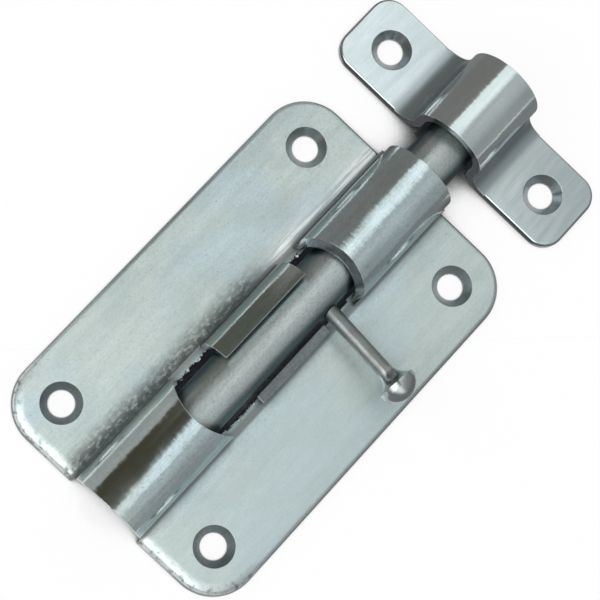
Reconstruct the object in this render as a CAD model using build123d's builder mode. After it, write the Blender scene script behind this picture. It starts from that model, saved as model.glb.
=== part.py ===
"""Surface barrel bolt for a door: pressed back plate, round bolt, headed knob pin and keeper."""
import os
from math import cos, radians, sin, tan

from build123d import *

# Driving dimensions, in millimetres and degrees.
# X runs across the plate to the knob side, Y along the bolt towards the keeper, Z out of the door.
# The origin is the middle of the four screw holes, on the door face.

# Pressed sheet, the same for plate and keeper
sheet = 1.7
edge_roll = 1.0  # rounded upper edge of the plate's outline
keeper_edge_roll = 0.5
crease_radius = 0.5  # outside of the bend from a wing up into the barrel
ear_bend_radius = 4.0  # outside of the bend from a keeper ear up into its arch

# Screw holes
screw_hole_diameter = 5.0
screw_head_diameter = 7.8
screw_head_angle = 90.0

# Round bolt and its running gaps
rod_diameter = 10.0
rod_length = 95.0
rod_end_chamfer = 1.0
door_gap = 0.75  # under the bolt
barrel_gap = 0.9  # round the bolt inside the barrel
keeper_gap = 0.95  # beside the bolt inside the keeper
tip_reach = 12.0  # of the thrown bolt into the keeper

# Back plate
plate_width = 55.0
plate_length = 83.0
plate_corner_radius = 8.8
screw_spacing_x = 37.3
screw_spacing_y = 65.2
front_overhang = 0.8  # of the barrel past the front edge of the wings
tail_recess = 0.8  # of the barrel behind the tail edge of the wings
front_loop_length = 25.6
tail_loop_length = 24.8
front_scoop = 2.2  # how far each loop's crown stands back from its flanks at the window
tail_scoop = 3.9
rim_bevel = 1.2  # of the front loop's outer edge at the window
slot_trim = 0.5  # wing edge in the notches, measured from the inside of the barrel

# Tabs left standing in the window
guard_notch = 4.2  # from the front loop to the curled guard tab
tail_notch = 7.8  # from the tail loop to both tabs
guard_edge = 3.0  # free edge of the guard tab, from the middle
lock_gap = 0.35  # from the lifted knob pin down to the lock tab
notch_gap = 0.4  # from the knob pin to the end of the lock tab

# Knob pin, measured from the axis of the bolt
knob_setback = 4.1  # from the front loop to the foot of the pin
knob_lift = 8.0  # resting slope of the pin above the wing
knob_lean = 6.0  # slope of the pin towards the tail
shank_diameter = 3.0
neck_reach = 19.4
flare_length = 3.2  # trumpet-shaped underside of the head
rim_length = 1.0
dome_length = 2.4
head_diameter = 7.4
seat_gap = 0.1  # from the foot of the pin to the bolt

# Keeper
keeper_length = 55.8
keeper_width = 16.3
keeper_corner_radius = 4.2
keeper_screw_spacing = 39.3
keeper_crown_height = 15.4
keeper_standoff = 7.3  # from the front end of the barrel to the keeper

# Derived positions
rod_radius = rod_diameter / 2
axis_height = rod_radius + door_gap
barrel_inside = rod_radius + barrel_gap
barrel_outside = barrel_inside + sheet
barrel_wall = barrel_inside + sheet / 2
barrel_foot = barrel_outside + crease_radius
barrel_top = axis_height + barrel_outside
barrel_tail = -plate_length / 2 + tail_recess
barrel_front = plate_length / 2 + front_overhang
window_front = barrel_front - front_loop_length
window_tail = barrel_tail + tail_loop_length
shank_radius = shank_diameter / 2
knob_y = window_front - knob_setback
shank_reach = shank_radius / cos(radians(knob_lean)) + barrel_outside * tan(radians(knob_lean))
lock_front = knob_y - shank_reach - notch_gap
guard_front = window_front - guard_notch
tab_tail = window_tail + tail_notch
lifted_underside = axis_height + barrel_inside * tan(radians(knob_lift)) - shank_radius / cos(radians(knob_lift))
lock_height = lifted_underside - lock_gap
keeper_inside = rod_radius + keeper_gap
keeper_wall = keeper_inside + sheet / 2
keeper_foot = keeper_inside + sheet + ear_bend_radius
keeper_arch_height = keeper_crown_height - keeper_inside - sheet
keeper_near = barrel_front + keeper_standoff
keeper_y = keeper_near + keeper_width / 2
rod_tip = keeper_near + tip_reach

keeper_plane = Plane(origin=(0, keeper_y, 0))
rod_plane = Plane(origin=(0, rod_tip, axis_height), x_dir=(1, 0, 0), z_dir=(0, -1, 0))
knob_axis = Vector(cos(radians(knob_lift)), -tan(radians(knob_lean)), sin(radians(knob_lift))).normalized()
knob_side = Vector(sin(radians(knob_lift)), 0, -cos(radians(knob_lift)))
knob_plane = Plane(origin=(0, knob_y, axis_height), x_dir=knob_axis, z_dir=knob_side)


def omega_line(wall: float, bend: float, arch_height: float) -> None:
    """Draw the middle line of a strap that bends up from the door, over the bolt and down again.

    Args:
        wall: Distance of the upright walls from the middle.
        bend: Radius of the bends at the foot of the walls.
        arch_height: Height at which the walls turn into the round crown.
    """
    foot = sheet / 2
    for side in (-1, 1):
        RadiusArc((side * (wall + bend), foot), (side * wall, foot + bend), side * bend)
        Line((side * wall, foot + bend), (side * wall, arch_height))
    ThreePointArc((-wall, arch_height), (0, arch_height + wall), (wall, arch_height))


def tab_areas() -> None:
    """Take the standing areas of the guard tab and the lock tab out of the current sketch."""
    for side, front in ((-1, guard_front), (1, lock_front)):
        with Locations((side * barrel_foot / 2, (front + tab_tail) / 2)):
            Rectangle(barrel_foot, front - tab_tail, mode=Mode.SUBTRACT)


# Back plate: two wings and a barrel of two loops, pressed from one sheet
with BuildPart() as back_plate:
    with BuildSketch():
        RectangleRounded(plate_width, plate_length, plate_corner_radius)
    extrude(amount=sheet)
    fillet(back_plate.faces().sort_by(Axis.Z)[-1].edges(), edge_roll)
    with BuildSketch():
        Rectangle(2 * barrel_foot, plate_length)
    extrude(amount=sheet, mode=Mode.SUBTRACT)
    with BuildSketch(Plane.XZ.offset(-barrel_front)):
        with BuildLine():
            omega_line(barrel_wall, crease_radius + sheet / 2, axis_height)
        trace(line_width=sheet)
    extrude(amount=barrel_front - barrel_tail)

    # Window between the loops, with hollowed ends, round the two tabs
    with BuildSketch(Plane.XY.offset(sheet)):
        with BuildLine():
            ThreePointArc(
                (-barrel_foot, window_front), (0, window_front + front_scoop), (barrel_foot, window_front)
            )
            Line((barrel_foot, window_front), (barrel_foot, window_tail))
            ThreePointArc(
                (barrel_foot, window_tail), (0, window_tail - tail_scoop), (-barrel_foot, window_tail)
            )
            Line((-barrel_foot, window_tail), (-barrel_foot, window_front))
        make_face()
        tab_areas()
    extrude(amount=barrel_top, mode=Mode.SUBTRACT)
    with BuildSketch():
        with Locations((0, (window_front + window_tail) / 2)):
            Rectangle(2 * (barrel_inside + slot_trim), window_front - window_tail)
        tab_areas()
    extrude(amount=sheet, mode=Mode.SUBTRACT)

    # Bevelled rim of the front loop, which faces the knob
    window_edges = back_plate.edges().filter_by_position(Axis.Y, window_front, window_front + front_scoop)
    chamfer(window_edges.filter_by(GeomType.BSPLINE).sort_by(Axis.Z)[-1], rim_bevel)

    # Lock tab cut down to a low wall, guard tab left curling over the bolt
    with BuildSketch(Plane.XY.offset(lock_height)):
        with Locations((barrel_foot / 2, (lock_front + tab_tail) / 2)):
            Rectangle(barrel_foot, lock_front - tab_tail)
    extrude(amount=barrel_top, mode=Mode.SUBTRACT)
    with BuildSketch(Plane.XY.offset(axis_height)):
        with Locations((-guard_edge / 2, (guard_front + tab_tail) / 2)):
            Rectangle(guard_edge, guard_front - tab_tail)
    extrude(amount=barrel_top, mode=Mode.SUBTRACT)

    with Locations((0, 0, sheet)):
        with GridLocations(screw_spacing_x, screw_spacing_y, 2, 2):
            CounterSinkHole(
                screw_hole_diameter / 2, screw_head_diameter / 2, counter_sink_angle=screw_head_angle
            )
back_plate.part.label = "back_plate"

# Bolt: a plain round bar with broken ends
with BuildPart() as bolt_rod:
    with BuildSketch(rod_plane):
        Circle(rod_radius)
    extrude(amount=rod_length)
    chamfer(bolt_rod.edges().filter_by(GeomType.CIRCLE), rod_end_chamfer)
bolt_rod.part.label = "bolt_rod"

# Knob pin: a turned shank with a mushroom head, its foot hollowed to sit on the bolt
head_radius = head_diameter / 2
rim_start = neck_reach + flare_length
rim_end = rim_start + rim_length
head_end = rim_end + dome_length
dome_radius = (head_radius**2 + dome_length**2) / (2 * dome_length)
with BuildPart() as knob_pin:
    with BuildSketch(knob_plane):
        with BuildLine():
            Polyline((0, 0), (0, shank_radius), (neck_reach, shank_radius))
            TangentArc((neck_reach, shank_radius), (rim_start, head_radius), tangent=(1, 0))
            Line((rim_start, head_radius), (rim_end, head_radius))
            RadiusArc((rim_end, head_radius), (head_end, 0), dome_radius)
            Line((head_end, 0), (0, 0))
        make_face()
    revolve(axis=Axis(knob_plane.origin, knob_plane.x_dir))
    with BuildSketch(rod_plane):
        Circle(rod_radius + seat_gap)
    extrude(amount=rod_length, mode=Mode.SUBTRACT)
knob_pin.part.label = "knob_pin"

# Keeper: a strap bent over the bolt, with an ear on each side
with BuildPart() as keeper:
    with BuildSketch(keeper_plane):
        RectangleRounded(keeper_length, keeper_width, keeper_corner_radius)
    extrude(amount=sheet)
    fillet(keeper.faces().sort_by(Axis.Z)[-1].edges(), keeper_edge_roll)
    with BuildSketch(keeper_plane):
        Rectangle(2 * keeper_foot, keeper_width)
    extrude(amount=sheet, mode=Mode.SUBTRACT)
    with BuildSketch(Plane.XZ.offset(-keeper_near - keeper_width)):
        with BuildLine():
            omega_line(keeper_wall, ear_bend_radius + sheet / 2, keeper_arch_height)
        trace(line_width=sheet)
    extrude(amount=keeper_width)
    with Locations((0, keeper_y, sheet)):
        with GridLocations(keeper_screw_spacing, 0, 2, 1):
            CounterSinkHole(
                screw_hole_diameter / 2, screw_head_diameter / 2, counter_sink_angle=screw_head_angle
            )
keeper.part.label = "keeper"

os.makedirs("parts", exist_ok=True)
export_step(back_plate.part, "parts/back_plate.step")
export_step(bolt_rod.part, "parts/bolt_rod.step")
export_step(knob_pin.part, "parts/knob_pin.step")
export_step(keeper.part, "parts/keeper.step")
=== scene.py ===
"""Barrel bolt door latch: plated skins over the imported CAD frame, in a plain studio."""

import logging
import math
from dataclasses import dataclass
from enum import Enum
from functools import partial, reduce
from typing import Any, NamedTuple

import bmesh
import bpy
from mathutils import Matrix, Vector


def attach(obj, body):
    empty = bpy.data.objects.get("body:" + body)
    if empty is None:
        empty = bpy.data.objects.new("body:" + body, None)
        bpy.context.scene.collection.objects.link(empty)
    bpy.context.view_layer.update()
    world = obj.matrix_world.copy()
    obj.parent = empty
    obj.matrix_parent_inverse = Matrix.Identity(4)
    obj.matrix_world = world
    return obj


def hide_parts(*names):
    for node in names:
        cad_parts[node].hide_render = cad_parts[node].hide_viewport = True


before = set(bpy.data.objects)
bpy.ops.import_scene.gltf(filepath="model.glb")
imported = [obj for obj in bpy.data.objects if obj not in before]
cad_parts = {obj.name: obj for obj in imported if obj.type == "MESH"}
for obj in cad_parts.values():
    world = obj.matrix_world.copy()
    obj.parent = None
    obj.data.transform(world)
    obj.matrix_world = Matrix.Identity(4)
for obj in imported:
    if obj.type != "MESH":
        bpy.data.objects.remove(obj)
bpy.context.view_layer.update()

log = logging.getLogger("latch")

MM = 0.001
Vector3 = tuple[float, float, float]
Colour = tuple[float, float, float, float]
Socket = bpy.types.NodeSocket

# Colours of the floor and its painted shadow, the tent and the cards
WHITE: Colour = (1, 1, 1, 1)
SHADOW_INK: Colour = (0.012, 0.014, 0.016, 1)
BROWN: Colour = (0.045, 0.038, 0.022, 1)
UMBER: Colour = (0.10, 0.095, 0.08, 1)
TAUPE: Colour = (0.20, 0.19, 0.18, 1)
GREY: Colour = (0.36, 0.36, 0.36, 1)
SLATE: Colour = (0.22, 0.22, 0.22, 1)
PEWTER: Colour = (0.30, 0.30, 0.30, 1)

# Shading: middle, roughness and finest octaves of noise, and samples for painted shade and rubbed edges
NOISE_MIDDLE = 0.5
NOISE_ROUGHNESS = 0.6
FINEST = 5.0
AO_SAMPLES = 8
BEVEL_SAMPLES = 6

# CAD meshes: how near vertices are one, in millimetres, and which angles are flat or sharp
WELD = 0.002
FLAT_ANGLE = math.radians(0.4)
SHARP_ANGLE = math.radians(32)


class Body(Enum):
    """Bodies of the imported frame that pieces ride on."""

    BASE = "base"
    BOLT = "bolt"
    KNOB = "knob"


class Slot(Enum):
    """Material slots of the record."""

    SHEET = "plated_sheet"
    BAR = "plated_bar"


class Fade(NamedTuple):
    """A soft change from one level to another.

    Attributes:
        start: Value at which the change starts.
        end: Value at which it ends, above the start.
        low: Level at the start.
        high: Level at the end.
    """

    start: float
    end: float
    low: float = 0.0
    high: float = 1.0


class NodeSheet:
    """Adds nodes to one node tree and joins their sockets."""

    def __init__(self, tree: bpy.types.NodeTree) -> None:
        """Empties the tree that it is to fill."""
        self.tree = tree
        tree.nodes.clear()

    def add(self, kind: str, inputs: dict[Any, Any] | None = None, **settings: Any) -> bpy.types.Node:
        """Adds one node.

        Args:
            kind: Blender's name for the node type.
            inputs: Values or sockets by input name or index.
            settings: Properties of the node.

        Returns:
            The new node.
        """
        node = self.tree.nodes.new(kind)
        for name, value in settings.items():
            setattr(node, name, value)
        for key, value in (inputs or {}).items():
            if isinstance(value, Socket):
                self.tree.links.new(value, node.inputs[key])
            else:
                node.inputs[key].default_value = value
        return node

    def millimetres(self) -> Socket:
        """Gives the Object coordinates in millimetres."""
        place = self.add("ShaderNodeTexCoord").outputs["Object"]
        return self.add("ShaderNodeVectorMath", {0: place, "Scale": 1 / MM}, operation="SCALE").outputs[0]

    def split(self, vector: Socket) -> tuple[Socket, Socket, Socket]:
        """Gives the X, Y and Z of a vector."""
        return tuple(self.add("ShaderNodeSeparateXYZ", {0: vector}).outputs)

    def math(self, operation: str, *values: Any) -> Socket:
        """Adds one Math node, with values or sockets in the node's own order."""
        return self.add("ShaderNodeMath", dict(enumerate(values)), operation=operation).outputs[0]

    def product(self, *factors: Any) -> Socket:
        """Multiplies two or more values or sockets."""
        return reduce(partial(self.math, "MULTIPLY"), factors)

    def vector(self, operation: str, *values: Any, output: int | str = 0) -> Socket:
        """Adds one Vector Math node, with vectors or sockets in the node's own order."""
        node = self.add("ShaderNodeVectorMath", dict(enumerate(values)), operation=operation)
        return node.outputs[output]

    def fade(self, value: Any, fade: Fade) -> Socket:
        """Fades softly from one level to another, as a value or socket rises."""
        inputs = dict(enumerate((value, *fade)))
        return self.add("ShaderNodeMapRange", inputs, interpolation_type="SMOOTHSTEP").outputs[0]

    def ramp(self, factor: Any, stops: dict[float, Colour]) -> Socket:
        """Adds a colour ramp.

        Args:
            factor: Value or socket that runs along the ramp.
            stops: Colour by place from 0 to 1.

        Returns:
            The colour socket.
        """
        node = self.add("ShaderNodeValToRGB", {0: factor})
        elements = node.color_ramp.elements
        while len(elements) < len(stops):
            elements.new(1.0)
        while len(elements) > len(stops):
            elements.remove(elements[-1])
        for element, (place, colour) in zip(elements, sorted(stops.items())):
            element.position = place
            element.color = colour
        return node.outputs[0]

    def blend(self, factor: Any, first: Any, second: Any, blend_type: str = "MIX") -> Socket:
        """Mixes two colours, or colour sockets, by how much of the second shows."""
        inputs = {0: factor, 6: first, 7: second}
        return self.add("ShaderNodeMix", inputs, data_type="RGBA", blend_type=blend_type).outputs[2]

    def noise(self, place: Socket, stretch: Vector3, detail: float = 3.0) -> Socket:
        """Adds a stretched noise.

        Args:
            place: Vector socket in millimetres.
            stretch: Features per millimetre along X, Y and Z.
            detail: Octaves of finer noise.

        Returns:
            The noise value, about 0.5 in the middle.
        """
        mapped = self.add("ShaderNodeMapping", {"Vector": place, "Scale": stretch}).outputs[0]
        inputs = {"Vector": mapped, "Scale": 1.0, "Detail": detail, "Roughness": NOISE_ROUGHNESS}
        return self.add("ShaderNodeTexNoise", inputs).outputs[0]


@dataclass(frozen=True)
class Pattern:
    """A stretched noise that fades between two levels.

    Attributes:
        stretch: Features per millimetre along X, Y and Z.
        fade: Levels by the value of the noise, which is about 0.5 in the middle.
        detail: Octaves of finer noise.
    """

    stretch: Vector3
    fade: Fade
    detail: float = 3.0

    def share(self, sheet: NodeSheet, place: Socket) -> Socket:
        """Gives the pattern's level at each place."""
        return sheet.fade(sheet.noise(place, self.stretch, self.detail), self.fade)


class Coat(NodeSheet):
    """The nodes of one plating, with the sockets that its shader is given.

    Attributes:
        place: Object coordinates in millimetres.
        across: Their X.
        along: Their Y.
        up: Their Z.
        away: Distance from the middle, across.
        tone: Colour.
        roughness: Roughness.
        normal: Bumped normal, none at first.
    """

    def __init__(self, tree: bpy.types.NodeTree, tone: Colour, roughness: float) -> None:
        """Starts from a plain colour and roughness.

        Args:
            tree: The tree to fill.
            tone: The plain colour.
            roughness: The plain roughness.
        """
        super().__init__(tree)
        self.place = self.millimetres()
        self.across, self.along, self.up = self.split(self.place)
        self.away = self.math("ABSOLUTE", self.across)
        self.tone: Any = tone
        self.roughness: Any = roughness
        self.normal: Socket | None = None

    def share(self, pattern: Pattern) -> Socket:
        """Gives a pattern's level at each place of the piece."""
        return pattern.share(self, self.place)

    def tint(self, share: Socket, colour: Any) -> None:
        """Lays a colour over a share of the surface."""
        self.tone = self.blend(share, self.tone, colour)

    def roughen(self, share: Socket, change: float) -> None:
        """Makes a share of the surface rougher, or smoother where the change is below 0."""
        self.roughness = self.product(self.roughness, self.math("MULTIPLY_ADD", share, change, 1.0))

    def emboss(self, height: Socket, depth: float, invert: bool = False) -> None:
        """Adds a bump over those before it.

        Args:
            height: Height from 0 to 1.
            depth: What a height of 1 stands for, in millimetres.
            invert: Turns the bump into a dent.
        """
        inputs = {"Height": height, "Distance": depth * MM}
        if self.normal is not None:
            inputs["Normal"] = self.normal
        self.normal = self.add("ShaderNodeBump", inputs, invert=invert).outputs[0]


@dataclass(frozen=True, kw_only=True)
class PlatedFinish:
    """Bright plating on brushed steel.

    Attributes:
        name: Name of the material.
        pale: Colour of the clean plating.
        sheen: Colour of its bluish patches.
        dull: Colour of the clouded plating, and on the back plate also of the painted shade over the right
            wing.
        scuff: Colour of the specks.
        shade: Colour of the painted shade in sheltered places and bends, and of torn patches on sheared
            faces.
        bright: Colour of rubbed edges, flecks and strokes, and of painted highlights on edges, on the
            rolled tail edge and on the pin's head.
        cut: Colour of sheared faces and countersinks.
        roughness: Roughness of the clean plating.
        brush: Brush lines per millimetre across X, Y and Z.
        streak: Strength of the long brush streaks, from 0 to 1.
        speck: Share of the surface under specks, from 0 to 1.
        grain: Strength of the fine grain, from 0 to 1.
        easing: Radius of the rubbed edges in millimetres.
        relief: Depth of the brushing in millimetres.
        waviness: Depth of the pressing's waves in millimetres.
    """

    name: str
    pale: Colour
    sheen: Colour
    dull: Colour
    scuff: Colour
    shade: Colour = (0.10, 0.13, 0.15, 1)
    bright: Colour = (0.93, 0.95, 0.95, 1)
    cut: Colour = (0.24, 0.26, 0.27, 1)
    roughness: float
    brush: Vector3
    streak: float
    speck: float
    grain: float
    easing: float
    relief: float
    waviness: float

    # Patterns that all plating shares
    CLOUDS = Pattern((0.17, 0.09, 0.17), Fade(0.38, 0.66), 6.0)
    PATCHES = Pattern((0.06, 0.045, 0.06), Fade(0.42, 0.58), 2.0)
    STREAKS = Pattern((0.55, 0.015, 0.55), Fade(0.40, 0.66))
    TORN = Pattern((2.2, 2.2, 0.7), Fade(0.38, 0.64, 0.0, 0.45), 5.0)
    PATCHY = Pattern((0.9, 0.9, 0.9), Fade(0.36, 0.56, 0.25, 1.0), 4.0)
    SPECK_STRETCH = (2.6, 1.3, 2.6)
    GRAIN_STRETCH = (3.4, 1.7, 3.4)
    GRAIN = Fade(0.40, 0.66)
    GRAIN_DETAIL = 2.0
    WAVE_STRETCH = (0.45, 0.12, 0.45)
    WAVE_DETAIL = 1.0
    LINES = Fade(0.36, 0.64)
    LINE_DETAIL = 4.0

    # Shares of the dull colour, and how far clouds and lines dull the polish
    CLOUD_SHARE = 0.6
    LINE_SHARE = 0.22
    CLOUD_DULLING = 0.27
    LINE_DULLING = 0.18

    # Noise value over which specks show: for none, its drop for a full cover, and its soft edge
    SPECK_LIMIT = 0.72
    SPECK_DROP = 0.16
    SPECK_EDGE = 0.06
    SPECK_SHARE = 0.6

    # Rubbed edges and their painted highlight, by how far the eased normal turns and how open they lie, and
    # sheared faces
    TURNED = Fade(0.80, 0.985, 1.0, 0.0)
    OPEN_EDGE = Fade(0.70, 0.90)
    CUT_ROUGHNESS = 0.26

    # Painted shade where a piece shuts itself in: how far it reaches in millimetres, and its share by how
    # open a place is
    SHELTER_REACH = 3.5
    SHELTER = Fade(0.45, 0.90, 0.75, 0.0)

    def material(self) -> bpy.types.Material:
        """Builds the node material.

        Returns:
            The finished material.
        """
        material = bpy.data.materials.new(self.name)
        material.use_nodes = True
        coat = Coat(material.node_tree, self.pale, self.roughness)
        self._plating(coat)
        self._wear_and_painted_light(coat)
        self._edges(coat, self._paint_shelter_shade(coat))
        inputs = {
            "Base Color": coat.tone,
            "Metallic": 1.0,
            "Roughness": coat.roughness,
            "Normal": coat.normal,
        }
        shader = coat.add("ShaderNodeBsdfPrincipled", inputs)
        coat.add("ShaderNodeOutputMaterial", {"Surface": shader.outputs[0]})
        return material

    def _plating(self, coat: Coat) -> None:
        """Clouds, brushes and specks the plating.

        Args:
            coat: Plating to change.
        """
        lines = coat.noise(coat.place, self.brush, self.LINE_DETAIL)
        line_share = coat.fade(lines, self.LINES)
        clouds = coat.share(self.CLOUDS)
        speck_start = self.SPECK_LIMIT - self.SPECK_DROP * self.speck
        speck_fade = Fade(speck_start, speck_start + self.SPECK_EDGE, 0.0, self.SPECK_SHARE)
        grains = Pattern(self.GRAIN_STRETCH, self.GRAIN._replace(high=self.grain), self.GRAIN_DETAIL)
        coat.tint(coat.share(self.PATCHES), self.sheen)
        coat.tint(coat.product(clouds, self.CLOUD_SHARE), self.dull)
        coat.tint(coat.product(line_share, self.LINE_SHARE), self.dull)
        coat.tint(coat.product(coat.share(self.STREAKS), self.streak), self.dull)
        coat.tint(coat.share(Pattern(self.SPECK_STRETCH, speck_fade)), self.scuff)
        coat.tint(coat.share(grains), self.scuff)
        dulling = coat.math("MULTIPLY_ADD", line_share, self.LINE_DULLING, 1.0)
        dulling = coat.math("MULTIPLY_ADD", clouds, self.CLOUD_DULLING, dulling)
        coat.roughness = coat.product(dulling, coat.roughness)
        coat.emboss(coat.noise(coat.place, self.WAVE_STRETCH, self.WAVE_DETAIL), self.waviness)
        coat.emboss(lines, self.relief)

    def _wear_and_painted_light(self, coat: Coat) -> None:
        """Adds the wear and painted light and shade of one kind of piece, which plain plating has none of.
        """

    def _paint_shelter_shade(self, coat: Coat) -> Socket:
        """Paints shade into the plating where the piece itself shuts it in.

        Args:
            coat: Plating to change.

        Returns:
            How open each place is, from 0 to 1.
        """
        inputs = {"Distance": self.SHELTER_REACH * MM, "Normal": coat.normal}
        shelter = coat.add("ShaderNodeAmbientOcclusion", inputs, samples=AO_SAMPLES, only_local=True)
        open_sky = shelter.outputs["AO"]
        # Ambient occlusion within the piece paints shade into its colour
        coat.tint(coat.fade(open_sky, self.SHELTER), self.shade)
        return open_sky

    def _edges(self, coat: Coat, open_sky: Socket) -> None:
        """Darkens sheared faces, rounds rubbed edges and brightens them, partly as wear and partly as a
        painted highlight.

        Args:
            coat: Plating to change.
            open_sky: How open each place is, from 0 to 1.
        """
        cut = coat.add("ShaderNodeAttribute", attribute_name="cut").outputs["Fac"]
        coat.tint(cut, coat.blend(coat.share(self.TORN), self.cut, self.shade))
        plain = coat.add("ShaderNodeNewGeometry").outputs["Normal"]
        eased = coat.add("ShaderNodeBevel", {"Radius": self.easing * MM}, samples=BEVEL_SAMPLES).outputs[0]
        turned = coat.vector("DOT_PRODUCT", plain, eased, output="Value")
        edge_wear_and_highlight = coat.product(coat.fade(turned, self.TURNED), coat.fade(open_sky, self.OPEN_EDGE))
        # Edges brightened: partly wear, partly painted highlight
        coat.tint(coat.product(edge_wear_and_highlight, coat.share(self.PATCHY)), self.bright)
        coat.normal = coat.blend(edge_wear_and_highlight, coat.normal, eased)
        uncut = coat.product(coat.roughness, coat.math("SUBTRACT", 1.0, cut))
        coat.roughness = coat.math("MULTIPLY_ADD", cut, self.CUT_ROUGHNESS, uncut)


@dataclass(frozen=True, kw_only=True)
class SheetFinish(PlatedFinish):
    """Plating on pressed sheet, polished where the press drew it over the bolt.

    Attributes:
        drawn_reach: Half the width of the drawn part, in millimetres.
        drawn_roughness: Roughness of the drawn part.
        bend_reach: Half the width over the bends beside it.
        bend_roughness: Roughness of those bends.
        bend_shade: Share of painted shade in those bends.
        ragged: Slope of the fine scores round the drawn part.
    """

    drawn_reach: float
    drawn_roughness: float
    bend_reach: float
    bend_roughness: float
    bend_shade: float = 0.0
    ragged: float

    # Height over which the polish starts, and the soft edges of the drawn part and of the bends
    FOOT = Fade(1.8, 2.6)
    DRAWN_EDGE = 0.5
    BEND_EDGE = 1.0
    BEND_OUTER_EDGE = 2.0
    SCORE_STRETCH = (0.2, 2.6, 0.2)

    def _wear_and_painted_light(self, coat: Coat) -> None:
        """Polishes the drawn part, roughens its bends and paints shade into them, and scores it finely
        round the bolt.

        Args:
            coat: Plating to change.
        """
        inside = self.drawn_reach - self.DRAWN_EDGE
        drawn = coat.fade(coat.away, Fade(inside, self.drawn_reach + self.DRAWN_EDGE, 1.0, 0.0))
        drawn = coat.product(drawn, coat.fade(coat.up, self.FOOT))
        coat.roughen(drawn, self.drawn_roughness / self.roughness - 1)
        bend = coat.fade(coat.away, Fade(inside, self.drawn_reach + self.BEND_EDGE))
        bend_start = self.bend_reach - self.BEND_OUTER_EDGE
        outside = Fade(bend_start, self.bend_reach + self.BEND_EDGE, 1.0, 0.0)
        bend = coat.product(bend, coat.fade(coat.away, outside))
        coat.roughen(bend, self.bend_roughness / self.roughness - 1)
        # Painted shade in the bends
        coat.tint(coat.product(bend, self.bend_shade), self.shade)
        scores = coat.noise(coat.place, self.SCORE_STRETCH, self.LINE_DETAIL)
        scores = coat.math("SUBTRACT", scores, NOISE_MIDDLE)
        slope = coat.product(scores, drawn, self.ragged / NOISE_MIDDLE)
        lean = coat.add("ShaderNodeCombineXYZ", {"X": slope}).outputs[0]
        coat.normal = coat.vector("NORMALIZE", coat.vector("ADD", coat.normal, lean))


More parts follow.
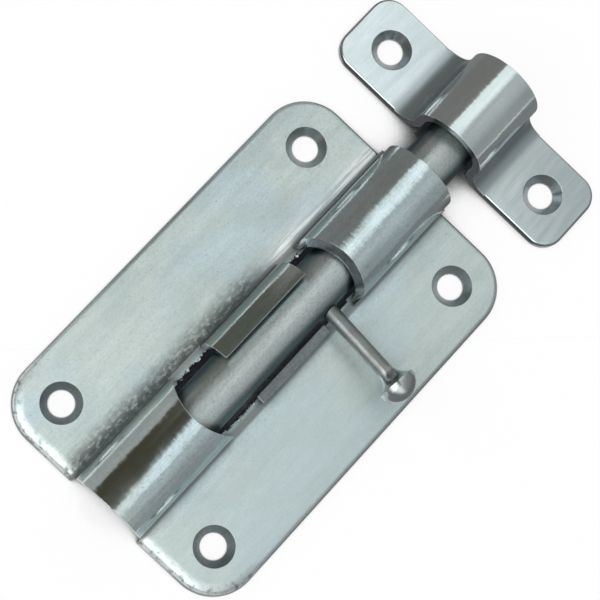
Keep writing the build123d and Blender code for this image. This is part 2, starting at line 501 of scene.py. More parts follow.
@dataclass(frozen=True, kw_only=True)
class PlateFinish(SheetFinish):
    """Plating of the back plate, scuffed beside its left crease and rolled off at its tail edge, with
    painted shade on the barrel's feet and over the right wing, and a painted highlight along the rolled
    tail edge.

    Attributes:
        half_width: Half the width of the plate, in millimetres.
        half_length: Half its length.
        corner: Radius of its corners.
        roll_width: Width of the soft roll-off at the tail edge.
        roll_depth: Depth of that roll-off.
        crease: Distance of the crease from the middle.
        scuff_width: Width of the scuffed band beside the crease.
        rubbing: Polish of that band's rubbed front end, from 0 to 1.
        grime_and_shade: Colour of the scuffed band, of the painted shade on the barrel's feet and of dark
            specks on the rolled tail edge.
    """

    half_width: float
    half_length: float
    corner: float
    roll_width: float
    roll_depth: float
    crease: float
    scuff_width: float
    rubbing: float
    grime_and_shade: Colour

    # Scratches, in patches and along the left edge, where they fade out by distance from it
    SCRATCHES = Pattern((3.0, 0.9, 3.0), Fade(0.60, 0.74, 0.0, 0.55), 5.0)
    SCRATCH_PATCHES = Pattern((0.12, 0.10, 0.12), Fade(0.48, 0.66), 2.0)
    SCRATCH_TURN = 0.5
    LEFT_EDGE = Fade(1.0, 7.0, 0.9, 0.0)

    # Scuffed band: its wandering edge, its grain and the strokes of rubbing and painted highlight on its
    # front end
    WANDER = 1.6
    WANDER_STRETCH = (0.6, 0.5, 0.6)
    BAND_EDGE = 0.3
    BAND_STRETCH = (1.6, 0.9, 1.6)
    DARK_GRAIN = Fade(0.36, 0.54, 0.50, 1.0)
    FLECKS = Fade(0.30, 0.36, 0.6, 0.0)
    STROKES = Pattern((1.3, 0.06, 1.3), Fade(0.38, 0.60, 0.15, 1.0), 4.0)
    TO_TAIL = Fade(4.0, 17.0, 1.0, 0.0)

    # Painted shade on the barrel's feet, by distance from the crease and by height, and over the right wing
    FOOT_INSIDE = Fade(-2.0, -0.6)
    FOOT_OUTSIDE = Fade(0.1, 0.8, 1.0, 0.0)
    FOOT_HEIGHT = Fade(8.0, 10.5, 0.64, 0.0)
    TO_RIGHT = Fade(8.0, 14.0, 0.0, 0.42)

    # Roll-off: how far it runs from the tail edge and from the crease, and the grain of its painted
    # highlight and dark specks
    ROLL_END = Fade(6.0, 16.0, 1.0, 0.0)
    ROLL_EDGE = 1.0
    ROLL_STRETCH = (1.1, 1.1, 1.1)
    ROLL_BRIGHT = Fade(0.40, 0.55, 0.1, 0.8)
    ROLL_DARK = Fade(0.36, 0.44, 0.8, 0.0)
    ABOVE_ALL = 100.0

    def _wear_and_painted_light(self, coat: Coat) -> None:
        """Adds the wear and painted shade of the sheet, then the plate's own wear, painted shade and
        painted highlight.

        Args:
            coat: Plating to change.
        """
        super()._wear_and_painted_light(coat)
        self._scratch(coat)
        self._scuff(coat)
        self._paint_foot_and_wing_shade(coat)
        self._roll_off(coat)

    def _scratch(self, coat: Coat) -> None:
        """Scatters fine dark scratches over the wings, in patches.

        Args:
            coat: Plating to change.
        """
        turn = {"Vector": coat.place, "Rotation": (0, 0, self.SCRATCH_TURN)}
        turned = coat.add("ShaderNodeMapping", turn).outputs[0]
        from_edge = coat.math("ADD", coat.across, self.half_width)
        left_edge = coat.fade(from_edge, self.LEFT_EDGE)
        patches = coat.math("MAXIMUM", coat.share(self.SCRATCH_PATCHES), left_edge)
        coat.tint(coat.product(self.SCRATCHES.share(coat, turned), patches), self.scuff)

    def _scuff(self, coat: Coat) -> None:
        """Darkens and flecks the band beside the left crease, and makes its front end smoother and
        brighter: rubbed plating with a painted highlight.

        Args:
            coat: Plating to change.
        """
        wander = coat.noise(coat.place, self.WANDER_STRETCH, FINEST)
        wander = coat.math("MULTIPLY_ADD", wander, self.WANDER, coat.across)
        inner = self.WANDER * NOISE_MIDDLE - self.crease
        band = coat.fade(wander, Fade(inner - self.scuff_width, inner))
        on_wing = Fade(-self.crease, self.BAND_EDGE - self.crease, 1.0, 0.0)
        band = coat.product(band, coat.fade(coat.across, on_wing))
        to_tail = coat.fade(coat.along, self.TO_TAIL)
        grain = coat.noise(coat.place, self.BAND_STRETCH, FINEST)
        coat.tint(coat.product(band, to_tail, coat.fade(grain, self.DARK_GRAIN)), self.grime_and_shade)
        flecks = coat.product(band, to_tail, coat.fade(grain, self.FLECKS))
        to_front = coat.math("SUBTRACT", 1.0, to_tail)
        rubbed = coat.product(band, to_front, coat.share(self.STROKES))
        # Bright flecks, and on the front end rubbed plating with a painted highlight
        coat.tint(coat.math("MAXIMUM", rubbed, flecks), self.bright)
        coat.roughen(rubbed, -self.rubbing)

    def _paint_foot_and_wing_shade(self, coat: Coat) -> None:
        """Paints shade on the feet of the barrel and over the right wing.

        Args:
            coat: Plating to change.
        """
        off_crease = coat.math("SUBTRACT", coat.away, self.crease)
        inside = coat.fade(off_crease, self.FOOT_INSIDE)
        outside = coat.fade(off_crease, self.FOOT_OUTSIDE)
        # Painted shade on the barrel's feet
        coat.tint(coat.product(inside, outside, coat.fade(coat.up, self.FOOT_HEIGHT)), self.grime_and_shade)
        # Painted shade over the right wing
        coat.tint(coat.fade(coat.across, self.TO_RIGHT), self.dull)

    def _roll_off(self, coat: Coat) -> None:
        """Rounds the upper face down to the tail edge and its corners, paints a highlight along that roll
        and flecks it dark.

        Args:
            coat: Plating to change.
        """
        straight = (self.half_width - self.corner, self.half_length - self.corner, self.ABOVE_ALL)
        spread = coat.vector("SUBTRACT", coat.vector("ABSOLUTE", coat.place), straight)
        spread = coat.vector("MAXIMUM", spread, (0, 0, 0))
        outwards = coat.vector("LENGTH", spread, output="Value")
        inner = self.corner - self.roll_width
        share = coat.add("ShaderNodeMapRange", {0: outwards, 1: inner, 2: self.corner}).outputs[0]
        from_tail = coat.math("ADD", coat.along, self.half_length)
        wing = coat.fade(coat.away, Fade(self.crease, self.crease + self.ROLL_EDGE))
        tail = coat.product(coat.fade(from_tail, self.ROLL_END), wing)
        drop = coat.product(coat.math("POWER", share, 2.0), tail)
        coat.emboss(drop, self.roll_depth, invert=True)
        edge = coat.product(share, tail)
        grain = coat.noise(coat.place, self.ROLL_STRETCH, FINEST)
        # Painted highlight along the rolled tail edge, broken by dark specks
        coat.tint(coat.product(edge, coat.fade(grain, self.ROLL_BRIGHT)), self.bright)
        coat.tint(coat.product(edge, coat.fade(grain, self.ROLL_DARK)), self.grime_and_shade)


@dataclass(frozen=True, kw_only=True)
class BarFinish(PlatedFinish):
    """Plating of the bolt, with painted shade in streaks along the flanks that the barrel shelters.

    Attributes:
        flank_shade: Colour of the painted shade on the flanks.
        flank_start: Where they start, in millimetres from the middle.
        flank_end: Where they are darkest.
    """

    flank_shade: Colour
    flank_start: float
    flank_end: float

    # Wandering edge of the painted shade on the flanks, and how far its colour covers the plating
    WANDER = 1.2
    WANDER_STRETCH = (0.8, 0.10, 0.8)
    FLANK_SHARE = 0.95

    def _wear_and_painted_light(self, coat: Coat) -> None:
        """Paints shade along the flanks.

        Args:
            coat: Plating to change.
        """
        wander = coat.noise(coat.place, self.WANDER_STRETCH)
        wander = coat.math("MULTIPLY_ADD", wander, self.WANDER, coat.away)
        middle = self.WANDER * NOISE_MIDDLE
        dark = Fade(self.flank_start + middle, self.flank_end + middle, 0.0, self.FLANK_SHARE)
        # Painted shade along the flanks
        coat.tint(coat.fade(wander, dark), self.flank_shade)


@dataclass(frozen=True, kw_only=True)
class PinFinish(PlatedFinish):
    """Plating of the knob pin, with a head that hands have polished and a painted highlight on it.

    Attributes:
        head_start: Where the head starts, in millimetres from the middle.
        head_polish_and_highlight: How much smoother the head is, and how much painted highlight it takes,
            from 0 to 1.
    """

    head_start: float
    head_polish_and_highlight: float

    # Soft edge of the polish in millimetres
    HEAD_EDGE = 1.0

    def _wear_and_painted_light(self, coat: Coat) -> None:
        """Polishes the head and paints a highlight on it.

        Args:
            coat: Plating to change.
        """
        polished = Fade(self.head_start - self.HEAD_EDGE, self.head_start + self.HEAD_EDGE)
        head = coat.fade(coat.across, polished)
        coat.roughen(head, -self.head_polish_and_highlight)
        # Painted highlight on the head
        coat.tint(coat.product(head, self.head_polish_and_highlight), self.bright)


PLATE_ZINC = PlateFinish(
    name="plate_zinc",
    pale=(0.83, 0.92, 0.88, 1),
    sheen=(0.76, 0.90, 0.95, 1),
    dull=(0.60, 0.69, 0.68, 1),
    scuff=(0.30, 0.32, 0.32, 1),
    roughness=0.40,
    brush=(4.5, 0.10, 4.5),
    streak=0.35,
    speck=0.35,
    grain=0.16,
    easing=0.30,
    relief=0.010,
    waviness=0.06,
    drawn_reach=7.9,
    drawn_roughness=0.12,
    bend_reach=9.5,
    bend_roughness=0.45,
    ragged=0.10,
    half_width=27.5,
    half_length=41.5,
    corner=8.8,
    roll_width=2.6,
    roll_depth=0.7,
    crease=8.0,
    scuff_width=5.0,
    rubbing=0.75,
    # Scuffed band, and painted shade on the barrel's feet
    grime_and_shade=(0.12, 0.13, 0.12, 1),
)
KEEPER_ZINC = SheetFinish(
    name="keeper_zinc",
    pale=(0.77, 0.85, 0.85, 1),
    sheen=(0.74, 0.83, 0.86, 1),
    dull=(0.66, 0.73, 0.74, 1),
    scuff=(0.40, 0.42, 0.42, 1),
    roughness=0.12,
    brush=(4.5, 0.10, 4.5),
    streak=0.15,
    speck=0.15,
    grain=0.06,
    easing=0.30,
    relief=0.006,
    waviness=0.03,
    drawn_reach=8.0,
    drawn_roughness=0.13,
    bend_reach=12.5,
    bend_roughness=0.30,
    # Painted shade in the keeper's bends
    bend_shade=0.55,
    ragged=0.06,
)
BAR_ZINC = BarFinish(
    name="bar_zinc",
    pale=(0.72, 0.79, 0.77, 1),
    sheen=(0.68, 0.76, 0.76, 1),
    dull=(0.54, 0.60, 0.59, 1),
    scuff=(0.30, 0.32, 0.33, 1),
    bright=(0.80, 0.83, 0.84, 1),
    roughness=0.30,
    brush=(3.5, 0.15, 3.5),
    streak=0.5,
    speck=0.60,
    grain=0.30,
    easing=0.20,
    relief=0.008,
    waviness=0.03,
    # Painted shade along the bolt's flanks
    flank_shade=(0.06, 0.10, 0.12, 1),
    flank_start=2.4,
    flank_end=4.6,
)
BURR_ZINC = PlatedFinish(
    name="burr_zinc",
    pale=(0.66, 0.72, 0.72, 1),
    sheen=(0.60, 0.68, 0.70, 1),
    dull=(0.36, 0.39, 0.39, 1),
    scuff=(0.16, 0.17, 0.17, 1),
    shade=(0.30, 0.33, 0.34, 1),
    roughness=0.30,
    brush=(2.0, 2.0, 2.0),
    streak=0.3,
    speck=0.6,
    grain=0.3,
    easing=0.05,
    relief=0.010,
    waviness=0.02,
)
PIN_NICKEL = PinFinish(
    name="pin_nickel",
    pale=(0.35, 0.37, 0.36, 1),
    sheen=(0.31, 0.34, 0.35, 1),
    dull=(0.25, 0.26, 0.25, 1),
    scuff=(0.20, 0.20, 0.19, 1),
    shade=(0.12, 0.13, 0.14, 1),
    bright=(0.70, 0.75, 0.76, 1),
    cut=(0.40, 0.40, 0.38, 1),
    roughness=0.40,
    brush=(0.6, 3.0, 3.0),
    streak=0.4,
    speck=0.6,
    grain=0.35,
    easing=0.25,
    relief=0.006,
    waviness=0.02,
    head_start=19.4,
    # Polish and a painted highlight on the head
    head_polish_and_highlight=0.5,
)


def link(added: bpy.types.Object) -> bpy.types.Object:
    """Puts a new object into the scene."""
    bpy.context.scene.collection.objects.link(added)
    return added


@dataclass
class Skin:
    """A smooth copy of one CAD node that stands for it.

    Attributes:
        node: The CAD node it stands for.
        body: The body it rides on.
        slot: The record's material slot, not used.
        finish: Its finish.
    """

    node: str
    body: Body
    slot: Slot
    finish: PlatedFinish

    def build(self) -> None:
        """Makes the piece and hands it to the frame."""
        mesh = self._mesh(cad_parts[self.node].data)
        piece = link(bpy.data.objects.new(f"{self.node}_skin", mesh))
        mesh.materials.append(self.finish.material())
        piece.modifiers.new("even_light", "WEIGHTED_NORMAL").keep_sharp = True
        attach(piece, self.body.value)
        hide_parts(self.node)
        log.info("%s: %d faces", piece.name, len(mesh.polygons))

    def cut_share(self, face: bmesh.types.BMFace) -> float:
        """Tells how sheared a face is, and a turned bar has no sheared faces."""
        return 0.0

    def shape(self, work: bmesh.types.BMesh) -> None:
        """Changes the copied shape, which most pieces need not do."""

    def _mesh(self, source: bpy.types.Mesh) -> bpy.types.Mesh:
        """Copies a CAD mesh, joins its facets and marks its sharp edges.

        Args:
            source: The CAD node's mesh.

        Returns:
            The new mesh, with "cut" at 1 on the sheared faces and less on countersinks.
        """
        work = bmesh.new()
        work.from_mesh(source)
        bmesh.ops.remove_doubles(work, verts=work.verts, dist=WELD * MM)
        bmesh.ops.dissolve_limit(work, angle_limit=FLAT_ANGLE, verts=work.verts, edges=work.edges)
        cut = work.faces.layers.float.new("cut")
        for face in work.faces:
            face[cut] = self.cut_share(face)
        self.shape(work)
        for edge in work.edges:
            edge.smooth = edge.is_manifold and edge.calc_face_angle() < SHARP_ANGLE
        for face in work.faces:
            face.smooth = True
        mesh = bpy.data.meshes.new(f"{self.node}_skin")
        work.to_mesh(mesh)
        work.free()
        return mesh


@dataclass
class SheetSkin(Skin):
    """The skin of a piece cut from sheet.

    Attributes:
        sheet: Thickness of the sheet in millimetres.
        barrel_reach: Half the width of the drawn part, in millimetres.
        sink_share: How sheared a countersink looks, from 0 to 1.
    """

    sheet: float = 1.7
    barrel_reach: float = 12.0
    sink_share: float = 0.78

    # Slopes that tell faces apart, where the lock tab stands across the plate, and a small distance
    SINK_SLOPE = (0.65, 0.75)
    STRAIGHT = 0.9
    HOLLOW_END = 0.3
    LOCK_TAB = (5.5, 8.0)
    NEAR = 0.01

    def cut_share(self, face: bmesh.types.BMFace) -> float:
        """Tells a sheared face or a countersink from a pressed one.

        Args:
            face: A face of the CAD mesh.

        Returns:
            1 for a sheared face, less for a countersink and 0 for a pressed face.
        """
        centre = face.calc_center_median() / MM
        normal = face.normal
        on_wing = abs(centre.x) > self.barrel_reach and centre.z < self.sheet + self.NEAR
        if on_wing and self.SINK_SLOPE[0] < normal.z < self.SINK_SLOPE[1]:
            return self.sink_share
        wing_side = on_wing and abs(normal.z) < self.SINK_SLOPE[1]
        on_barrel = centre.z > 2 * self.sheet
        on_lock_tab = on_barrel and self.LOCK_TAB[0] < centre.x < self.LOCK_TAB[1]
        tab_top = on_lock_tab and normal.z > self.STRAIGHT
        end_face = abs(normal.y) > (self.HOLLOW_END if on_barrel else self.STRAIGHT)
        return float(end_face or tab_top or wing_side)


@dataclass
class PlateSkin(SheetSkin):
    """The skin of the back plate, with the front loop's window rim bevelled on its upper side.

    Attributes:
        axis_height: Height of the bolt's axis in millimetres.
        barrel_outside: Radius of the barrel's outside.
        barrel_inside: Radius of its inside.
        rim: Where the rim starts and ends along Y.
        rim_foot: Height below which the rim stays as it is.
        rim_bevel: How far the upper edge of the rim stands back.
        rim_lip: Thickness that the bevel leaves at the inside.
    """

    axis_height: float = 5.75
    barrel_outside: float = 7.6
    barrel_inside: float = 5.9
    rim: tuple[float, float] = (16.6, 20.3)
    rim_foot: float = 2.6
    rim_bevel: float = 1.2
    rim_lip: float = 0.3

    # How near its radius a vertex lies, in millimetres
    NEAR_RADIUS = 0.1

    def shape(self, work: bmesh.types.BMesh) -> None:
        """Turns the rim's bevel from the underside to the upper side.

        Args:
            work: The copied plate.
        """
        start, end = self.rim
        lip_radius = self.barrel_inside + self.rim_lip
        for vert in work.verts:
            place = vert.co / MM
            rise = max(place.z - self.axis_height, 0.0)
            radius = math.hypot(place.x, rise)
            if not start < place.y < end or place.z < self.rim_foot:
                continue
            if radius > self.barrel_outside - self.NEAR_RADIUS:
                vert.co.y += self.rim_bevel * MM
            elif radius > self.barrel_inside + self.NEAR_RADIUS:
                shrink = lip_radius / radius
                vert.co.x *= shrink
                vert.co.z -= rise * (1 - shrink) * MM
            elif radius > self.barrel_inside - self.NEAR_RADIUS:
                vert.co.y -= (self.rim_bevel - self.rim_lip) * MM


@dataclass
class NotchBurrs:
    """Torn crumbs of metal along the notches that the press left beside the tabs.

    Attributes:
        name: Name of the piece.
        plate: The CAD node whose edges they follow.
        finish: Their finish.
        wall: Distance of the notch edges from the middle, in millimetres.
        sheet: Height of those edges in millimetres.
        spacing: From crumb to crumb in millimetres.
        crumb: Radius of the largest crumb in millimetres.
        seed: Start of the random order.
    """

    name: str
    plate: str
    finish: PlatedFinish
    wall: float = 6.4
    sheet: float = 1.7
    spacing: float = 0.42
    crumb: float = 0.34
    seed: int = 7

    # Lowest and highest shift in millimetres, size as a share of the crumb, and turn in radians
    JITTER = ((-0.25, -0.1, -0.08), (0.25, 0.1, 0.12))
    SIZES = ((0.15, 0.3, 0.15), (1.0, 1.8, 0.5))
    TURNS = ((-0.5, -0.5, -0.9), (0.5, 0.5, 0.9))
    NEAR = 0.02

    def build(self) -> None:
        """Makes the piece and hands it to the frame."""
        piece = link(bpy.data.objects.new(self.name, self._edges(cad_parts[self.plate].data)))
        material = self.finish.material()
        modifier = piece.modifiers.new("crumbs", "NODES")
        modifier.node_group = self._tree(material)
        values = {"Spacing": self.spacing * MM, "Crumb": self.crumb * MM, "Seed": self.seed}
        for item in modifier.node_group.interface.items_tree:
            if item.name in values:
                modifier[item.identifier] = values[item.name]
        evaluated = piece.evaluated_get(bpy.context.evaluated_depsgraph_get())
        mesh = bpy.data.meshes.new_from_object(evaluated)
        mesh.name = self.name
        piece.modifiers.remove(modifier)
        piece.data = mesh
        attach(piece, Body.BASE.value)
        log.info("%s: %d faces", piece.name, len(mesh.polygons))

    def _edges(self, source: bpy.types.Mesh) -> bpy.types.Mesh:
        """Copies the notch edges, apart from the notch that the knob pin drops into.

        Args:
            source: The plate's CAD mesh.

        Returns:
            A mesh of edges alone.
        """
        work = bmesh.new()
        work.from_mesh(source)
        bmesh.ops.remove_doubles(work, verts=work.verts, dist=WELD * MM)
        other = [edge for edge in work.edges if not self._is_notch(edge)]
        bmesh.ops.delete(work, geom=list(work.faces), context="FACES_ONLY")
        bmesh.ops.delete(work, geom=[edge for edge in other if edge.is_valid], context="EDGES")
        mesh = bpy.data.meshes.new(f"{self.name}_edges")
        work.to_mesh(mesh)
        work.free()
        return mesh

    def _is_notch(self, edge: bmesh.types.BMEdge) -> bool:
        """Tells an upper notch edge from all other edges.

        Args:
            edge: An edge of the plate.

        Returns:
            True for an upper edge of a torn notch.
        """
        places = [vert.co / MM for vert in edge.verts]
        at_wall = all(abs(abs(place.x) - self.wall) < self.NEAR for place in places)
        at_top = all(abs(place.z - self.sheet) < self.NEAR for place in places)
        pin_notch = all(place.x > 0 and place.y > 0 for place in places)
        return at_wall and at_top and not pin_notch

    def _tree(self, material: bpy.types.Material) -> bpy.types.NodeTree:
        """Builds the Geometry Nodes that string crumbs along the edges.

        Args:
            material: Material of the crumbs.

        Returns:
            The node group.
        """
        tree = bpy.data.node_groups.new(f"{self.name}_crumbs", "GeometryNodeTree")
        sheet = NodeSheet(tree)
        tree.interface.new_socket("Geometry", in_out="INPUT", socket_type="NodeSocketGeometry")
        for name, kind in (("Spacing", "Float"), ("Crumb", "Float"), ("Seed", "Int")):
            tree.interface.new_socket(name, in_out="INPUT", socket_type=f"NodeSocket{kind}")
        tree.interface.new_socket("Geometry", in_out="OUTPUT", socket_type="NodeSocketGeometry")
        given = sheet.add("NodeGroupInput").outputs
        seed = given["Seed"]
        curve = sheet.add("GeometryNodeMeshToCurve", {"Mesh": given["Geometry"]}).outputs[0]
        spaced = {"Curve": curve, "Length": given["Spacing"]}
        points = sheet.add("GeometryNodeCurveToPoints", spaced, mode="LENGTH").outputs[0]
        reach = tuple(tuple(Vector(corner) * MM) for corner in self.JITTER)
        moved = {"Geometry": points, "Offset": self._random(sheet, reach, seed)}
        spread = sheet.add("GeometryNodeSetPosition", moved).outputs[0]
        ball = {"Radius": given["Crumb"], "Subdivisions": 2}
        placed = {
            "Points": spread,
            "Instance": sheet.add("GeometryNodeMeshIcoSphere", ball).outputs[0],
            "Rotation": self._random(sheet, self.TURNS, seed),
            "Scale": self._random(sheet, self.SIZES, seed),
        }
        crumbs = sheet.add("GeometryNodeInstanceOnPoints", placed).outputs[0]
        solid = sheet.add("GeometryNodeRealizeInstances", {0: crumbs}).outputs[0]
        painted = sheet.add("GeometryNodeSetMaterial", {"Geometry": solid, "Material": material}).outputs[0]
        sheet.add("NodeGroupOutput", {0: painted})
        return tree

    def _random(self, sheet: NodeSheet, span: tuple[Vector3, Vector3], seed: Socket) -> Socket:
        """Draws a random vector within a span for each crumb."""
        inputs = {0: span[0], 1: span[1], "Seed": seed}
        return sheet.add("FunctionNodeRandomValue", inputs, data_type="FLOAT_VECTOR").outputs[0]


@dataclass(frozen=True)
class PhotoCamera:
    """The photograph's viewpoint.

    Attributes:
        distance: From the middle of the back plate, in metres.
        tilt: Lean away from straight above, in degrees.
        heading: Turn of that lean from the tail towards the right, in degrees.
        picture_turn: Turn of the picture's up from the bolt's forward, in degrees.
        lens: Focal length on a 36 mm sensor, in millimetres.
        shift: Shift of the picture in both directions.
        aim: The point it looks at, in millimetres.
    """

    distance: float = 0.294
    tilt: float = 10.6
    heading: float = -9.97
    picture_turn: float = 42.78
    lens: float = 96.66
    shift: float = 0.07
    aim: Vector3 = (-0.52, 0.09, 0.0)

    # Nearest that is seen, in metres
    NEAREST = 0.01

    def build(self) -> None:
        """Adds the camera and makes it the scene's."""
        tilt = math.radians(self.tilt)
        heading = math.radians(self.heading)
        turn = math.radians(self.picture_turn)
        aside = math.sin(tilt)
        back = Vector((aside * math.sin(heading), -aside * math.cos(heading), math.cos(tilt)))
        right = Vector((-math.sin(turn), math.cos(turn), 0)).cross(back).normalized()
        up = back.cross(right)
        data = bpy.data.cameras.new("photo_camera")
        data.lens = self.lens
        data.shift_x = self.shift
        data.shift_y = self.shift
        data.clip_start = self.NEAREST
        camera = link(bpy.data.objects.new("photo_camera", data))
        turned = Matrix((right, up, back)).transposed().to_4x4()
        camera.matrix_world = Matrix.Translation(Vector(self.aim) * MM + back * self.distance) @ turned
        bpy.context.scene.camera = camera


@dataclass(frozen=True)
class SoftLamp:
    """A rectangular lamp over the tail, turned towards the latch.

    Attributes:
        place: Where it hangs, in metres.
        width: Width in metres.
        depth: Depth in metres.
        brightness: Brightness of its face, where 1 is white.
    """

    place: Vector3 = (0.0, -0.38, 0.60)
    width: float = 0.60
    depth: float = 0.30
    brightness: float = 0.4

    def build(self) -> None:
        """Adds the lamp."""
        data = bpy.data.lights.new("tail_lamp", "AREA")
        data.shape = "RECTANGLE"
        data.size = self.width
        data.size_y = self.depth
        data.energy = self.brightness * math.pi * self.width * self.depth
        lamp = link(bpy.data.objects.new("tail_lamp", data))
        lamp.location = self.place
        lamp.rotation_euler = (-lamp.location).to_track_quat("-Z", "Y").to_euler()
        lamp.visible_camera = False


@dataclass(frozen=True)
class Card:
    """A flat card beside the latch, upright or on the floor, which only polished surfaces show.

    Attributes:
        name: Name of the card.
        low: Its first corner in millimetres.
        high: The corner across from it.
        tones: Colour by place along Y in millimetres.
    """

    name: str
    low: Vector3
    high: Vector3
    tones: dict[float, Colour]

    def build(self) -> None:
        """Adds the card to the stage."""
        mesh = bpy.data.meshes.new(self.name)
        near, start, bottom = self.low
        far, end, top = self.high
        corners = ((near, start, bottom), (near, end, bottom), (far, end, top), (far, start, top))
        mesh.from_pydata([Vector(corner) * MM for corner in corners], [], [(0, 1, 2, 3)])
        mesh.materials.append(self._paper())
        card = link(bpy.data.objects.new(self.name, mesh))
        card.visible_camera = False
        card.visible_shadow = False
        card.visible_diffuse = False

    def _paper(self) -> bpy.types.Material:
        """Builds the card's material.

        Returns:
            The finished material.
        """
        material = bpy.data.materials.new(self.name)
        material.use_nodes = True
        sheet = NodeSheet(material.node_tree)
        _, along, _ = sheet.split(sheet.millimetres())
        start, end = self.low[1], self.high[1]
        share = sheet.add("ShaderNodeMapRange", {0: along, 1: start, 2: end}).outputs[0]
        stops = {(place - start) / (end - start): colour for place, colour in self.tones.items()}
        tone = sheet.ramp(share, stops)
        glow = sheet.add("ShaderNodeEmission", {"Color": tone}).outputs[0]
        sheet.add("ShaderNodeOutputMaterial", {"Surface": glow})
        return material


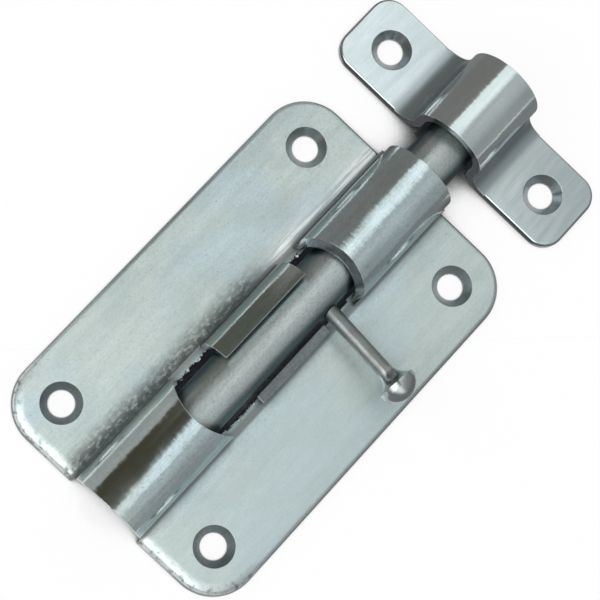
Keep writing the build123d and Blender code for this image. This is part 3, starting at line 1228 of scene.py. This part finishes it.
@dataclass(frozen=True)
class Studio:
    """White floor under a soft tent of light, brightest to the tail.

    Attributes:
        floor_size: Half the width of the floor in metres.
        floor_glow: Share of the floor's white that no lamp has to give.
        strip: Brightness of the bright strip overhead.
        tail: Brightness of the tent to the tail.
        slant: How far the strip turns from straight across the bolt.
        sky_reach: Slope from the upright at which the tent's colours end.
        tint: Colour of its light.
    """

    floor_size: float = 8.0
    floor_glow: float = 0.90
    strip: float = 1.06
    tail: float = 2.30
    slant: float = 0.384
    sky_reach: float = 1.6
    tint: Colour = (0.97, 1.0, 1.0, 1)

    # Floor: how far it lies under the latch in millimetres, and its colours by how open it lies, which
    # paint the latch's shadow on it
    FLOOR_DROP = 0.05
    FLOOR_SHADE_REACH = 30.0
    FLOOR_COLOURS = {0.30: SHADOW_INK, 0.56: WHITE}

    # Tent, by slope from the upright: its dark side, its strip and its levels to the right and front
    DARK_END = 0.12
    STRIP_SPAN = (0.15, 0.38)
    LEVELS = {0.405: 0.47, 0.46: 0.45, 0.53: 0.65, 0.87: 0.56, 1.4: 0.40}
    HORIZON = 0.05

    # Light from the tail, along and across the bolt, a patch at the front left and a dimmer right
    TAIL_START = Fade(-0.22, -0.06, 1.0, 0.0)
    TAIL_END = Fade(-2.2, -0.8, 0.15, 1.0)
    TAIL_ACROSS = Fade(-0.15, 0.30, 1.0, 0.72)
    PATCH_ALONG = Fade(0.36, 0.46)
    PATCH_RIGHT = Fade(-0.02, 0.12, 1.1, 0.0)
    PATCH_LEFT = Fade(-0.36, -0.22)
    DIM_RIGHT = Fade(-0.05, 0.18, 1.0, 0.84)

    def build(self) -> None:
        """Adds the floor and the tent."""
        self._floor()
        self._tent()

    def _floor(self) -> None:
        """Adds the white floor under the back faces."""
        mesh = bpy.data.meshes.new("floor")
        reach = self.floor_size
        corners = [(-reach, -reach, 0), (reach, -reach, 0), (reach, reach, 0), (-reach, reach, 0)]
        mesh.from_pydata(corners, [], [(0, 1, 2, 3)])
        mesh.materials.append(self._floor_paint())
        floor = link(bpy.data.objects.new("floor", mesh))
        floor.location.z = -self.FLOOR_DROP * MM

    def _floor_paint(self) -> bpy.types.Material:
        """Builds the floor's white, with the latch's shadow painted in where the latch shuts it in.

        Returns:
            The finished material.
        """
        material = bpy.data.materials.new("white_floor")
        material.use_nodes = True
        sheet = NodeSheet(material.node_tree)
        path = sheet.add("ShaderNodeLightPath").outputs
        seen = sheet.math("MAXIMUM", path["Is Camera Ray"], path["Is Glossy Ray"])
        seen = sheet.math("MAXIMUM", seen, path["Is Transmission Ray"])
        shade = {"Distance": self.FLOOR_SHADE_REACH * MM}
        open_sky = sheet.add("ShaderNodeAmbientOcclusion", shade, samples=AO_SAMPLES).outputs["AO"]
        # Ambient occlusion darkens the floor's colour: a painted shadow, in the glow that camera and
        # reflections see as well as in the paint
        white = sheet.ramp(open_sky, self.FLOOR_COLOURS)
        paint = sheet.add("ShaderNodeBsdfDiffuse", {"Color": white}).outputs[0]
        glow = sheet.add("ShaderNodeEmission", {"Color": white}).outputs[0]
        share = sheet.product(seen, self.floor_glow)
        surface = sheet.add("ShaderNodeMixShader", {0: share, 1: paint, 2: glow}).outputs[0]
        sheet.add("ShaderNodeOutputMaterial", {"Surface": surface})
        return material

    def _sky(self) -> dict[float, Colour]:
        """Lists the tent's colours from its dark side over the bright strip to the right and front.

        Returns:
            Colour by share of the tent's reach.
        """
        sky = {self.DARK_END / self.sky_reach: BROWN}
        levels = dict.fromkeys(self.STRIP_SPAN, self.strip) | self.LEVELS
        for place, level in levels.items():
            sky[place / self.sky_reach] = tuple(level * share for share in self.tint[:3]) + (1,)
        return sky

    def _tent(self) -> None:
        """Gives the world the tent's light."""
        world = bpy.data.worlds.new("tent")
        world.use_nodes = True
        bpy.context.scene.world = world
        sheet = NodeSheet(world.node_tree)
        across, along, up = sheet.split(sheet.add("ShaderNodeTexCoord").outputs["Generated"])
        up = sheet.math("MAXIMUM", up, self.HORIZON)
        across = sheet.math("DIVIDE", across, up)
        along = sheet.math("DIVIDE", along, up)
        slant = sheet.math("MULTIPLY_ADD", across, self.slant, along)
        strip = sheet.ramp(sheet.math("DIVIDE", slant, self.sky_reach), self._sky())
        tail = sheet.product(sheet.fade(along, self.TAIL_START), self.tail)
        tail = sheet.product(tail, sheet.fade(along, self.TAIL_END), sheet.fade(across, self.TAIL_ACROSS))
        patch = sheet.product(sheet.fade(along, self.PATCH_ALONG), sheet.fade(across, self.PATCH_RIGHT))
        patch = sheet.product(patch, sheet.fade(across, self.PATCH_LEFT))
        extra = sheet.blend(1.0, sheet.math("MAXIMUM", tail, patch), self.tint, "MULTIPLY")
        light = sheet.blend(1.0, strip, extra, "LIGHTEN")
        light = sheet.blend(1.0, light, sheet.fade(across, self.DIM_RIGHT), "MULTIPLY")
        glow = sheet.add("ShaderNodeBackground", {"Color": light}).outputs[0]
        sheet.add("ShaderNodeOutputWorld", {"Surface": glow})


CARDS = (
    Card("tall_card", (-100, -75, 0), (-100, 260, 165), {-14: BROWN, 4: UMBER, 40: UMBER, 52: TAUPE}),
    Card("low_card_left", (-37, -60, 0), (-37, 90, 30), {-16: GREY, -6: UMBER, 12: UMBER, 18: TAUPE}),
    Card("low_card_right", (30, -60, 0), (30, 200, 12), {-15: PEWTER, 15: SLATE}),
    Card("gap_card", (-60, 42.4, -0.03), (60, 49.5, -0.03), {45: SLATE}),
    Card("front_card", (-60, 66.0, -0.03), (60, 160, -0.03), {70: SLATE}),
)


def main() -> None:
    """Dresses the latch and sets up the photograph's view."""
    logging.basicConfig(level=logging.INFO)
    bpy.context.scene.view_settings.view_transform = "Standard"
    skins = (
        PlateSkin("back_plate", Body.BASE, Slot.SHEET, PLATE_ZINC),
        SheetSkin("keeper", Body.BASE, Slot.SHEET, KEEPER_ZINC),
        Skin("bolt_rod", Body.BOLT, Slot.BAR, BAR_ZINC),
        Skin("knob_pin", Body.KNOB, Slot.BAR, PIN_NICKEL),
    )
    for skin in skins:
        skin.build()
    NotchBurrs("notch_burrs", "back_plate", BURR_ZINC).build()
    PhotoCamera().build()
    Studio().build()
    for card in CARDS:
        card.build()
    SoftLamp().build()


if __name__ == "__main__":
    main()
